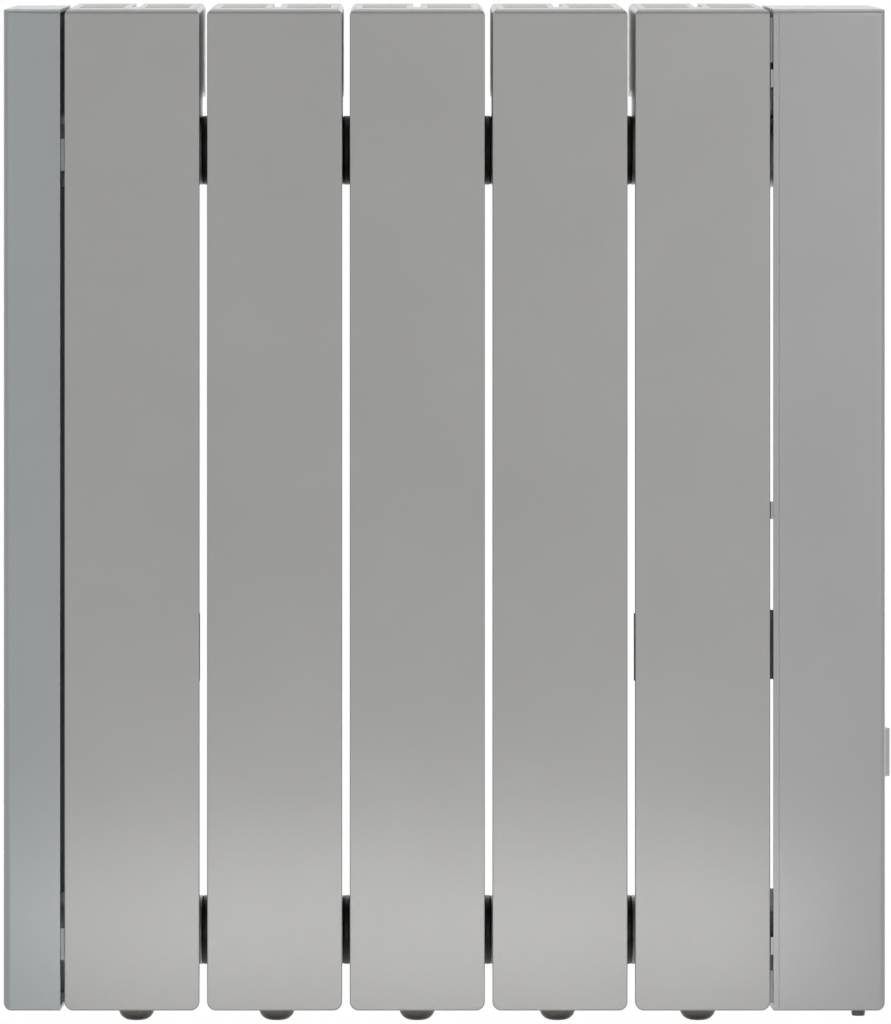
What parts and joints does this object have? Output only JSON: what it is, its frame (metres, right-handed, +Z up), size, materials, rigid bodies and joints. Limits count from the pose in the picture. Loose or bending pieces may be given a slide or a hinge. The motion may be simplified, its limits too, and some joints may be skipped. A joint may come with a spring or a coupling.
{
  "type": "fluid-filled electric radiator",
  "caption": "Wall-hung electric radiator of flat-fronted cast sections filled with fluid, with a switch housing on one end and hook brackets behind.",
  "frame": {"origin": "middle of the four wall screws, on the wall's face", "axes": "+X to the right as seen from the room, +Y into the wall, +Z up"},
  "size_m": [0.4986, 0.098, 0.584],
  "materials": {
    "silver_paint": "satin silver-grey stoved paint on cast aluminium",
    "cover_silver": "satin silver-grey paint on a moulding",
    "black_rubber": "matt black",
    "dark_plug": "dark brown-black, slightly glossy",
    "zinc_steel": "zinc plated",
    "heater_steel": "dull stainless steel",
    "bracket_paint": "light grey paint",
    "liner_plastic": "matt black",
    "board_laminate": "green solder resist",
    "relay_case": "black",
    "sink_aluminium": "bare extruded",
    "terminal_plastic": "natural white",
    "sensor_resin": "black resin",
    "lead_red": "red insulation",
    "lead_blue": "blue insulation",
    "lead_white": "white insulation",
    "gland_plastic": "dark grey",
    "switch_plastic": "light grey",
    "rocker_plastic": "black"
  },
  "bodies": {
    "wall_brackets": {"upper_left_bracket": "bracket_paint", "upper_right_bracket": "bracket_paint", "lower_left_bracket": "bracket_paint", "lower_right_bracket": "bracket_paint", "upper_left_liner": "liner_plastic", "upper_right_liner": "liner_plastic", "lower_left_liner": "liner_plastic", "lower_right_liner": "liner_plastic"},
    "radiator": {"section_1": "silver_paint", "section_2": "silver_paint", "section_3": "silver_paint", "section_4": "silver_paint", "section_5": "silver_paint", "left_end_cover": "cover_silver", "housing_cover": "cover_silver", "upper_gasket_1": "black_rubber", "upper_gasket_2": "black_rubber", "upper_gasket_3": "black_rubber", "upper_gasket_4": "black_rubber", "lower_gasket_1": "black_rubber", "lower_gasket_2": "black_rubber", "lower_gasket_3": "black_rubber", "lower_gasket_4": "black_rubber", "left_upper_seal": "black_rubber", "left_lower_seal": "black_rubber", "right_upper_seal": "black_rubber", "heater_seal": "black_rubber", "channel_plug_1": "dark_plug", "channel_plug_2": "dark_plug", "channel_plug_3": "dark_plug", "channel_plug_4": "dark_plug", "channel_plug_5": "dark_plug", "upper_nipples": "zinc_steel", "lower_nipples": "zinc_steel", "left_upper_plug": "zinc_steel", "left_lower_plug": "zinc_steel", "right_upper_plug": "zinc_steel", "right_upper_nut": "zinc_steel", "heater_nut": "zinc_steel", "housing_frame": "zinc_steel", "left_cover_screws": "zinc_steel", "housing_screws": "zinc_steel", "heating_element": "heater_steel", "control_board": "board_laminate", "board_relay": "relay_case", "heat_sink": "sink_aluminium", "terminal_block": "terminal_plastic", "air_sensor": "sensor_resin", "overheat_cutout": "sensor_resin", "heater_leads": "lead_red", "cutout_leads": "lead_red", "supply_leads": "lead_blue", "switch_leads": "lead_blue", "sensor_lead": "lead_white", "cord_gland": "gland_plastic", "gland_nut": "gland_plastic", "switch_body": "switch_plastic"},
    "rocker": {"rocker": "rocker_plastic"}
  },
  "joints": [
    {"name": "lift_off", "type": "slide", "parent": "wall_brackets", "child": "radiator", "axis": [0, 0, 1], "range_m": [0, 0.016]},
    {"name": "rocker_tilt", "type": "hinge", "parent": "radiator", "child": "rocker", "pos_m": [0.2591, -0.076, -0.1788], "axis": [0, -1, 0], "range_deg": [0, 14]}
  ]
}
